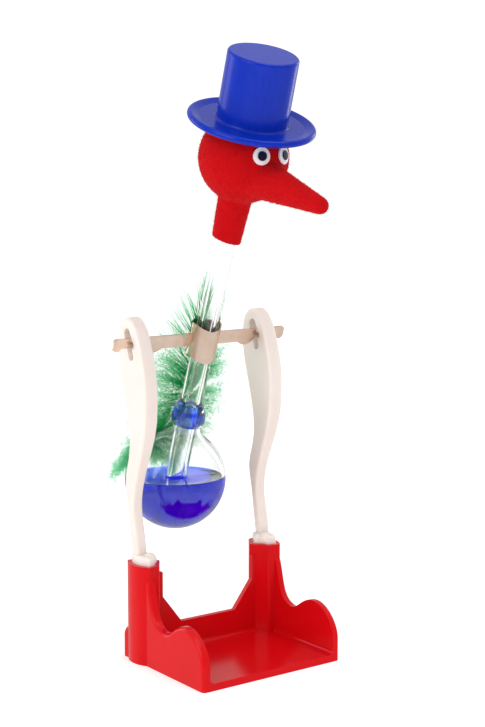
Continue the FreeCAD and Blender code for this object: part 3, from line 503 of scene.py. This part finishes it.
def glass_body(material):
    """Bulb, seal ring and tube, blown and fused into one wall of glass."""
    top = RING_BOTTOM + RING_HEIGHT
    lip = interpolate_bezier(
        Vector((BULB_NECK_RADIUS, RING_BOTTOM)),
        Vector((RING_RADIUS + LIP_LOW_BULGE, RING_BOTTOM + LIP_LOW_RISE)),
        Vector((RING_RADIUS + LIP_HIGH_BULGE, top - LIP_HIGH_DROP)),
        Vector((TUBE_RADIUS, top)), LIP_STEPS)
    outside = bulb_section(0) + [(p[0], p[1]) for p in lip[1:]]
    wall_middle = (TUBE_RADIUS + TUBE_BORE_RADIUS) / 2
    wall_half = (TUBE_RADIUS - TUBE_BORE_RADIUS) / 2
    rim = arc_points((wall_middle, TUBE_BOTTOM), wall_half, 180, 360, RIM_STEPS)
    tube = [(TUBE_RADIUS, TUBE_TOP), (TUBE_BORE_RADIUS, TUBE_TOP)] + rim
    inside = bulb_section(BULB_WALL)[::-1]
    bm = turned(outside + tube + seal_pocket(TUBE_RADIUS, 0) + inside)
    return finished("blown_glass", bm, tube_frame, "bird", material,
                    ["lower_bulb", "seal_ring", "stem_tube"])


def seal_pocket(bore, grown):
    """The hollow between tube and neck under the seal, from the tube outward and down; grown widens it."""
    wall = [(radius + grown, RING_BOTTOM + height) for radius, height in POCKET_WALL]
    return [(bore, RING_BOTTOM + POCKET_TOP)] + wall


def seal_film(material):
    """Dyed liquid held in the narrow pocket under the seal."""
    bore = TUBE_RADIUS - WETTED_OVERLAP
    pocket = seal_pocket(bore, WETTED_OVERLAP)
    foot = [(BULB_NECK_RADIUS - BULB_WALL, RING_BOTTOM + FILM_FOOT), (bore, RING_BOTTOM)]
    bm = turned(pocket + foot)
    return finished("seal_dye_film", bm, tube_frame, "bird", material)


def liquid(material):
    """The dyed liquid, level at rest, wetting the glass that it touches."""
    wall = bulb_section(BULB_WALL - WETTED_OVERLAP)
    shell = [point for point in wall if point[1] < RING_BOTTOM - LIQUID_BELOW_RING]
    top = shell[-1][1]
    outer = TUBE_RADIUS - WETTED_OVERLAP
    bore = TUBE_BORE_RADIUS + WETTED_OVERLAP
    tube = [(outer, top), (outer, TUBE_BOTTOM), (bore, TUBE_BOTTOM), (bore, top), (0, top)]
    bm = turned(shell + tube)
    level = tube_frame.inverted() @ Vector((0, PIVOT.y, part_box("dyed_liquid")[1].z))
    up = (tube_frame.inverted().to_3x3() @ Vector((0, 0, 1))).normalized()
    cut = bmesh.ops.bisect_plane(
        bm, geom=bm.verts[:] + bm.edges[:] + bm.faces[:], dist=TURN_MERGE, plane_co=level, plane_no=up,
        clear_outer=True)
    rim = [e for e in cut["geom_cut"] if isinstance(e, bmesh.types.BMEdge)]
    top_faces = bmesh.ops.triangle_fill(bm, edges=rim, use_beauty=True, normal=up)["geom"]
    top_faces = [f for f in top_faces if isinstance(f, bmesh.types.BMFace)]
    climbed = 0.0
    for i in range(MENISCUS_STEPS):
        sunk = math.sin(math.pi / 2 * (i + 1) / MENISCUS_STEPS) * MENISCUS_DEPTH
        bmesh.ops.inset_region(
            bm, faces=top_faces, thickness=MENISCUS_WIDTH / MENISCUS_STEPS, depth=climbed - sunk,
            use_even_offset=False)
        climbed = sunk
    bmesh.ops.recalc_face_normals(bm, faces=bm.faces)
    return finished("dyed_filling", bm, tube_frame, "bird", material, ["dyed_liquid"])


# ---------------------------------------------------------------- felt head

def added(bm, other):
    """Moves other's mesh into bm."""
    scratch = bpy.data.meshes.new("scratch")
    other.to_mesh(scratch)
    other.free()
    bm.from_mesh(scratch)
    bpy.data.meshes.remove(scratch)


def remeshed(bm, voxel):
    """The same solid as one even skin of small squares."""
    mesh = bpy.data.meshes.new("solid")
    bm.to_mesh(mesh)
    bm.free()
    holder = bpy.data.objects.new("solid", mesh)
    bpy.context.scene.collection.objects.link(holder)
    remesh = holder.modifiers.new("skin", "REMESH")
    remesh.mode = "VOXEL"
    remesh.voxel_size = voxel
    bpy.context.view_layer.update()
    evaluated = holder.evaluated_get(bpy.context.evaluated_depsgraph_get())
    skin = bmesh.new()
    skin.from_mesh(bpy.data.meshes.new_from_object(evaluated))
    bpy.data.objects.remove(holder)
    bpy.data.meshes.remove(mesh)
    return skin


def beak_solid():
    """A blunt cone from inside the head to the beak's tip."""
    length = BEAK_LENGTH - BEAK_ROOT_REACH
    slope = math.degrees(math.asin((BEAK_ROOT_RADIUS - BEAK_TIP_RADIUS) / length))
    tip = arc_points((0, length - BEAK_TIP_RADIUS), BEAK_TIP_RADIUS, slope, 90, BEAK_TIP_STEPS)
    root = [(0, -BEAK_BURIED), (BEAK_ROOT_RADIUS, -BEAK_BURIED), (BEAK_ROOT_RADIUS, 0)]
    bm = turned(root + tip, BEAK_TURN_STEPS)
    forward = Matrix.Rotation(math.radians(90 - BEAK_RISE_DEG), 3, "X")
    bmesh.ops.rotate(bm, cent=(0, 0, 0), matrix=forward, verts=bm.verts)
    bmesh.ops.translate(bm, vec=(0, -BEAK_ROOT_REACH, HEAD_CENTRE - BEAK_ROOT_DROP), verts=bm.verts)
    return bm


def felt_skin(material):
    """One flocked skin over the glass head, the beak and the top of the tube."""
    bm = bmesh.new()
    bmesh.ops.create_uvsphere(
        bm, u_segments=HEAD_SEGMENTS, v_segments=HEAD_RINGS, radius=FELT_RADIUS,
        matrix=Matrix.Translation((0, 0, HEAD_CENTRE)))
    added(bm, beak_solid())
    top = HEAD_CENTRE - FELT_RADIUS + NECK_IN_HEAD
    added(bm, turned([
        (NECK_BORE_RADIUS, NECK_BOTTOM), (NECK_RADIUS - NECK_EDGE_INSET, NECK_BOTTOM),
        (NECK_RADIUS, NECK_BOTTOM + NECK_EDGE_RISE),
        (NECK_TOP_RADIUS, top), (NECK_BORE_RADIUS, top)], NECK_TURN_STEPS))
    skin = remeshed(bm, FELT_VOXEL)
    bmesh.ops.recalc_face_normals(skin, faces=skin.faces)
    soften_joins(skin)
    slant_neck(skin)
    return finished("red_felt_skin", skin, tube_frame, "bird", material,
                    ["felt_head_cover", "felt_neck_sleeve", "felt_beak_cover"])


def slant_neck(skin):
    """The neck's lower edge, cut a little lower on one side by hand."""
    for vert in skin.verts:
        share = 1 - (vert.co.z - NECK_BOTTOM) / NECK_CUT_REACH
        vert.co.z -= NECK_CUT_SLOPE * vert.co.x * min(1.0, max(0.0, share))


def soften_joins(skin):
    """Relaxes the whole skin once, and more where it turns in from the head to the beak and neck."""
    def near_join(vert):
        reach = (vert.co - Vector((0, 0, HEAD_CENTRE))).length - FELT_RADIUS
        return abs(reach) < JOIN_REACH and vert.co.z < HEAD_CENTRE + JOIN_TOP

    def relax(verts):
        bmesh.ops.smooth_vert(
            skin, verts=verts, factor=RELAX, use_axis_x=True, use_axis_y=True, use_axis_z=True)

    relax(skin.verts)
    joins = [v for v in skin.verts if near_join(v)]
    for _ in range(JOIN_PASSES):
        relax(joins)


def flock(skin, material):
    """Loose fibre ends that stand off the felt and blur its outline."""
    draw = random.Random(FLOCK_SEED)
    mesh = skin.data
    mesh.calc_loop_triangles()
    corners = [[mesh.vertices[i].co for i in tri.vertices] for tri in mesh.loop_triangles]
    areas = [tri.area for tri in mesh.loop_triangles]
    bm = bmesh.new()
    for _ in range(FLOCK_COUNT // FLOCK_BATCH):
        tuft = bmesh.new()
        for a, b, c in draw.choices(corners, weights=areas, k=FLOCK_BATCH):
            u, v = sorted((draw.random(), draw.random()))
            root = a * u + b * (v - u) + c * (1 - v)
            lean = Vector([draw.gauss(0, FLOCK_LEAN) for _ in range(3)])
            way = ((b - a).cross(c - a).normalized() + lean).normalized()
            length = FLOCK_LENGTH * draw.uniform(*FLOCK_LENGTH_SHARES) * MM
            turn = way.to_track_quat("Z", "Y").to_matrix().to_4x4()
            bmesh.ops.create_cone(
                tuft, cap_ends=True, segments=3, radius1=FLOCK_RADIUS * MM,
                radius2=FLOCK_RADIUS * FLOCK_TIP_SHARE * MM, depth=length,
                matrix=Matrix.Translation(root + way * length * FLOCK_STANDS_OFF) @ turn)
        added(bm, tuft)
    return finished("felt_flock", bm, Matrix.Identity(4), "bird", material)


# ---------------------------------------------------------------- feather

def shaft_point(t):
    """A point on the feather's shaft, its way to the tip and its way back; t is the height on the shaft."""
    if t >= QUILL_BEND_Z:
        return Vector((0, QUILL_Y, t)), Vector((0, 0, 1)), Vector((0, 1, 0))
    angle = (QUILL_BEND_Z - t) / QUILL_BEND_RADIUS
    centre = Vector((0, QUILL_Y + QUILL_BEND_RADIUS, QUILL_BEND_Z))
    back = Vector((0, math.cos(angle), math.sin(angle)))
    return centre - back * QUILL_BEND_RADIUS, Vector((0, -math.sin(angle), math.cos(angle))), back


def strands(name, lines, material, replaced=()):
    """Fine fibres, pointed at both ends, as one mesh; a line lists (point, radius, tip share)."""
    curve = bpy.data.curves.new(name, "CURVE")
    curve.dimensions = "3D"
    curve.bevel_depth = 1.0
    curve.bevel_resolution = 0
    curve.use_fill_caps = False
    for line in lines:
        spline = curve.splines.new("POLY")
        spline.points.add(len(line) - 1)
        for point, (place, radius, _) in zip(spline.points, line):
            point.co = (*place, 1.0)
            point.radius = radius
        spline.points[0].radius = 0
        spline.points[-1].radius = 0
    holder = bpy.data.objects.new(name, curve)
    bpy.context.scene.collection.objects.link(holder)
    bpy.context.view_layer.update()
    mesh = bpy.data.meshes.new_from_object(holder.evaluated_get(bpy.context.evaluated_depsgraph_get()))
    bpy.data.objects.remove(holder)
    bpy.data.curves.remove(curve)
    tips = [share for line in lines for _, _, share in line for _ in range(STRAND_SIDES)]
    mesh.attributes.new("tip", "FLOAT", "POINT").data.foreach_set("value", tips)
    bm = bmesh.new()
    bm.from_mesh(mesh)
    bpy.data.meshes.remove(mesh)
    bmesh.ops.remove_doubles(bm, verts=bm.verts, dist=POINT_MERGE)
    return finished(name, bm, bird_frame, "bird", material, replaced)


def barb_line(draw, t, side, length, rise_deg, curl_deg, radius, lift, droop=0.0):
    """One barb: it leaves the shaft at rise_deg from the shaft's line and turns by curl_deg."""
    root, tipward, back = shaft_point(t)
    outward = Vector((side, 0, 0))
    place = root.copy()
    wander = draw.uniform(-1, 1)
    line = []
    for i in range(BARB_STEPS + 1):
        share = i / BARB_STEPS
        thin = 1.0 - BARB_THINNING * share ** BARB_THINNING_POWER
        line.append((place.copy(), radius * thin, share))
        wave = BARB_WANDER_DEG * wander * math.sin(share * BARB_WAVE + wander * BARB_WAVE_SHIFT)
        angle = math.radians(rise_deg + curl_deg * share + wave)
        way = tipward * math.cos(angle) + outward * math.sin(angle)
        way += back * (lift + BARB_WANDER_BACK * share * wander)
        way += WORLD_DOWN * droop
        place = clear_of_bulb(place + way.normalized() * (length / BARB_STEPS))
    return line


def clear_of_bulb(place):
    """The same point, moved out to the bulb's surface if it would lie inside the glass."""
    centre = Vector((0, -TUBE_OFFSET, BULB_CENTRE))
    reach = BULB_RADIUS + BULB_CLEARANCE
    away = place - centre
    return centre + away.normalized() * max(away.length, reach)


def shaft(material):
    """The feather's shaft, pinched at the pivot and bent back behind the bulb."""
    line = []
    for i in range(SHAFT_STEPS + 1):
        share = i / SHAFT_STEPS
        place = shaft_point(SHAFT_TOP + (SHAFT_BOTTOM - SHAFT_TOP) * share)[0]
        radius = SHAFT_TIP_RADIUS + (SHAFT_ROOT_RADIUS - SHAFT_TIP_RADIUS) * share
        line.append((place, radius, 1 - share))
    strands("feather_shaft", [line], material, ["feather_quill"])


def vane(draw, material):
    """Barbs of the tip: close to the shaft at the top, swept up and out in loose clumps below."""
    lines = []
    for clump in range(VANE_CLUMPS):
        share = (clump + draw.uniform(*VANE_CLUMP_PLACES)) / VANE_CLUMPS
        t = VANE_TOP + (VANE_BOTTOM - VANE_TOP) * share
        for side in (-1, 1):
            rise = VANE_TOP_RISE_DEG + VANE_RISE_GAIN_DEG * share + draw.gauss(0, VANE_RISE_SPREAD_DEG)
            length = VANE_TOP_LENGTH + VANE_LENGTH_GAIN * min(1, share * 2)
            length *= draw.uniform(*VANE_LENGTH_SHARES)
            if side > 0:
                length *= VANE_RIGHT_SHARE
            curl = draw.uniform(*VANE_CURLS_DEG)
            for _ in range(VANE_CLUMP_BARBS):
                lines.append(barb_line(
                    draw, t + draw.uniform(*VANE_BARB_OFFSETS), side,
                    length * draw.uniform(*VANE_BARB_SHARES),
                    rise + draw.gauss(0, VANE_BARB_RISE_SPREAD_DEG),
                    curl + draw.gauss(0, VANE_BARB_CURL_SPREAD_DEG),
                    VANE_BARB_RADIUS, draw.gauss(VANE_LIFT, VANE_LIFT_SPREAD)))
    strands("feather_vane_barbs", lines, material, ["feather_vane"])


def down(draw, material):
    """The fluffy lower barbs, close together, each furred with its own finer barbules."""
    barbs = []
    for i in range(DOWN_BARBS):
        share = (i + draw.random()) / DOWN_BARBS
        t = DOWN_TOP + (DOWN_BOTTOM - DOWN_TOP) * share
        for side in (-1, 1):
            fullness = DOWN_END_SHARE + DOWN_MIDDLE_GAIN * math.sin(math.pi * share)
            length = DOWN_LENGTH * draw.uniform(*DOWN_LENGTH_SHARES) * fullness
            if side > 0:
                length *= DOWN_RIGHT_SHARE
            rise = DOWN_TOP_RISE_DEG + DOWN_RISE_GAIN_DEG * share + draw.gauss(0, DOWN_RISE_SPREAD_DEG)
            barbs.append(barb_line(
                draw, t, side, length, rise, draw.gauss(DOWN_CURL_DEG, DOWN_CURL_SPREAD_DEG),
                DOWN_BARB_RADIUS, draw.gauss(DOWN_LIFT, DOWN_LIFT_SPREAD), DOWN_DROOP * share))
    strands("feather_down_barbs", barbs, material, ["feather_down"])
    for half, lines in (("left", barbs[0::2]), ("right", barbs[1::2])):
        strands("feather_fluff_" + half, barbules(draw, lines), material)


def barbules(draw, barbs):
    """Short hairs that fur both sides of each barb."""
    hairs = []
    for line in barbs:
        for (start, _, near), (end, _, far) in zip(line, line[1:]):
            along = (end - start).normalized()
            for _ in range(BARBULES_PER_STEP):
                part = draw.random()
                aside = Vector((draw.gauss(0, 1), draw.gauss(0, BARBULE_FLATNESS), draw.gauss(0, 1)))
                aside = (aside - along * aside.dot(along)).normalized()
                root = start.lerp(end, part)
                way = (along * BARBULE_LEAN + aside).normalized()
                tip = root + way * draw.uniform(*BARBULE_LENGTHS)
                share = near + (far - near) * part
                tip_share = min(1.0, share + BARBULE_PALER)
                middle = root.lerp(tip, BARBULE_MIDDLE)
                hairs.append([(root, 0, share), (middle, BARBULE_RADIUS, share), (tip, 0, tip_share)])
    return hairs


def feather(green, pale):
    """The tail feather: its pale shaft, and barbs and down from one run of random draws."""
    draw = random.Random(FEATHER_SEED)
    shaft(pale)
    vane(draw, green)
    down(draw, green)


# ---------------------------------------------------------------- stage

def make_camera():
    """A long lens, ahead of the bird and to its right, near the height of its head."""
    data = bpy.data.cameras.new("camera")
    data.lens = CAMERA_LENS_MM
    data.sensor_width = SENSOR_MM
    data.clip_start = CLIP_START
    camera = bpy.data.objects.new("camera", data)
    camera.location = CAMERA_PLACE
    camera.rotation_euler = (math.radians(CAMERA_PITCH_DEG), 0, math.radians(CAMERA_TURN_DEG))
    bpy.context.scene.collection.objects.link(camera)
    bpy.context.scene.camera = camera


def make_floor():
    """The paper floor, left out of mirrored light so that gloss reflects the room alone."""
    bm = bmesh.new()
    bmesh.ops.create_grid(bm, x_segments=2, y_segments=2, size=FLOOR_HALF_WIDTH)
    mesh = bpy.data.meshes.new("floor")
    bm.to_mesh(mesh)
    bm.free()
    floor = bpy.data.objects.new("floor", mesh)
    mesh.materials.append(floor_paper())
    floor.visible_glossy = False
    bpy.context.scene.collection.objects.link(floor)


def soft_light(name, place, target, size, power):
    """One soft box, turned to face its target."""
    data = bpy.data.lights.new(name, "AREA")
    data.shape = "RECTANGLE"
    data.size, data.size_y = size
    data.energy = power
    lamp = bpy.data.objects.new(name, data)
    lamp.location = place
    lamp.rotation_euler = (Vector(target) - Vector(place)).to_track_quat("-Z", "Y").to_euler()
    bpy.context.scene.collection.objects.link(lamp)


def make_room():
    """A white room, a little different for each way that light meets it.

    The eye sees an even backdrop, and matt surfaces are lit evenly. Glass bends light from a room that
    darkens away from the back, which draws the glass's edges. Gloss mirrors a room that is darker in
    front, with a bright floor.
    """
    world = bpy.data.worlds.new("studio")
    bpy.context.scene.world = world
    world.use_nodes = True
    world.cycles.sampling_method = "NONE"
    tree = world.node_tree
    tree.nodes.clear()
    way = node(tree, "TexCoord").outputs["Generated"]
    ahead = node(tree, "VectorMath", {0: way, 1: ROOM_AHEAD}, operation="DOT_PRODUCT")
    shade = node(tree, "MapRange", {
        "Value": ahead.outputs["Value"], "From Min": -0.7, "From Max": 0.2,
        "To Min": MIRRORED_ROOM_FRONT, "To Max": MIRRORED_ROOM_BACK})
    drop = node(tree, "SeparateXYZ", {0: way}).outputs["Z"]
    below = node(tree, "MapRange", {
        "Value": drop, "From Min": -0.2, "From Max": -0.5, "To Min": 0.0, "To Max": MIRRORED_FLOOR})
    shade = node(tree, "Math", {0: shade.outputs[0], 1: below.outputs[0]}, operation="MAXIMUM")
    through = node(tree, "MapRange", {
        "Value": ahead.outputs["Value"], "From Min": 0.45, "From Max": 0.97,
        "To Min": BACKDROP_EDGE_STRENGTH, "To Max": BACKDROP_STRENGTH})
    ray = node(tree, "LightPath").outputs
    mirrored = node(tree, "Math", {
        0: ray["Is Glossy Ray"], 1: ray["Is Transmission Ray"]}, operation="SUBTRACT", use_clamp=True)
    power = node(tree, "Mix", {
        0: ray["Is Transmission Ray"], 2: ROOM_STRENGTH, 3: through.outputs[0]}, data_type="FLOAT")
    power = node(tree, "Mix", {
        0: ray["Is Camera Ray"], 2: power.outputs[0], 3: BACKDROP_STRENGTH}, data_type="FLOAT")
    power = node(tree, "Mix", {
        0: mirrored.outputs[0], 2: power.outputs[0], 3: shade.outputs[0]}, data_type="FLOAT")
    back = node(tree, "Background", {"Color": (1, 1, 1, 1), "Strength": power.outputs[0]})
    node(tree, "OutputWorld", {"Surface": back.outputs[0]})


# ---------------------------------------------------------------- the scene

def make_stage():
    """Camera, floor and light, with enough light bounces for glass inside glass."""
    scene = bpy.context.scene
    scene.view_settings.view_transform = "Standard"
    scene.cycles.max_bounces = LIGHT_BOUNCES
    scene.cycles.transmission_bounces = LIGHT_BOUNCES
    scene.cycles.transparent_max_bounces = LIGHT_BOUNCES
    make_camera()
    make_floor()
    make_room()
    for box in SOFT_BOXES:
        soft_light(*box)


def finish_cad_nodes(ivory, glass):
    """Gives the nodes that stay as they were designed their finishes."""
    steel = stamped_steel()
    white = eye_plastic("white_vinyl", "#F8F4F6", "#ECE6EA", EYE_ROUGHNESS)
    black = eye_plastic("black_vinyl", "#14123A", "#0A0A20", EYE_ROUGHNESS)
    finishes = {
        "base_tray": red_abs(),
        "left_leg": ivory,
        "right_leg": ivory,
        "pivot_front_leaf": steel,
        "pivot_back_leaf": steel,
        "head_bulb": glass,
        "beak_core": ivory,
        "left_eye_white": white,
        "right_eye_white": white,
        "left_pupil": black,
        "right_pupil": black,
        "top_hat": hat_polyethylene(),
    }
    for name, finish in finishes.items():
        frame["nodes"][name].data.materials[0] = finish


def main():
    """The stage, the finishes of the designed nodes, and then the pieces that are made here."""
    make_stage()
    glass = lamp_glass()
    felt = red_felt()
    finish_cad_nodes(ivory_polypropylene(), glass)
    glass_body(glass)
    liquid(dyed_liquid("dyed_liquid", LIQUID_DENSITY))
    seal_film(dyed_liquid("thin_dye_film", FILM_DENSITY))
    flock(felt_skin(felt), felt)
    feather(
        dyed_feather("emerald_dyed_down", "#20DA86", "#AEF4D4"),
        dyed_feather("emerald_dyed_shaft", "#A8E2C2", "#E2F8EC"))


main()
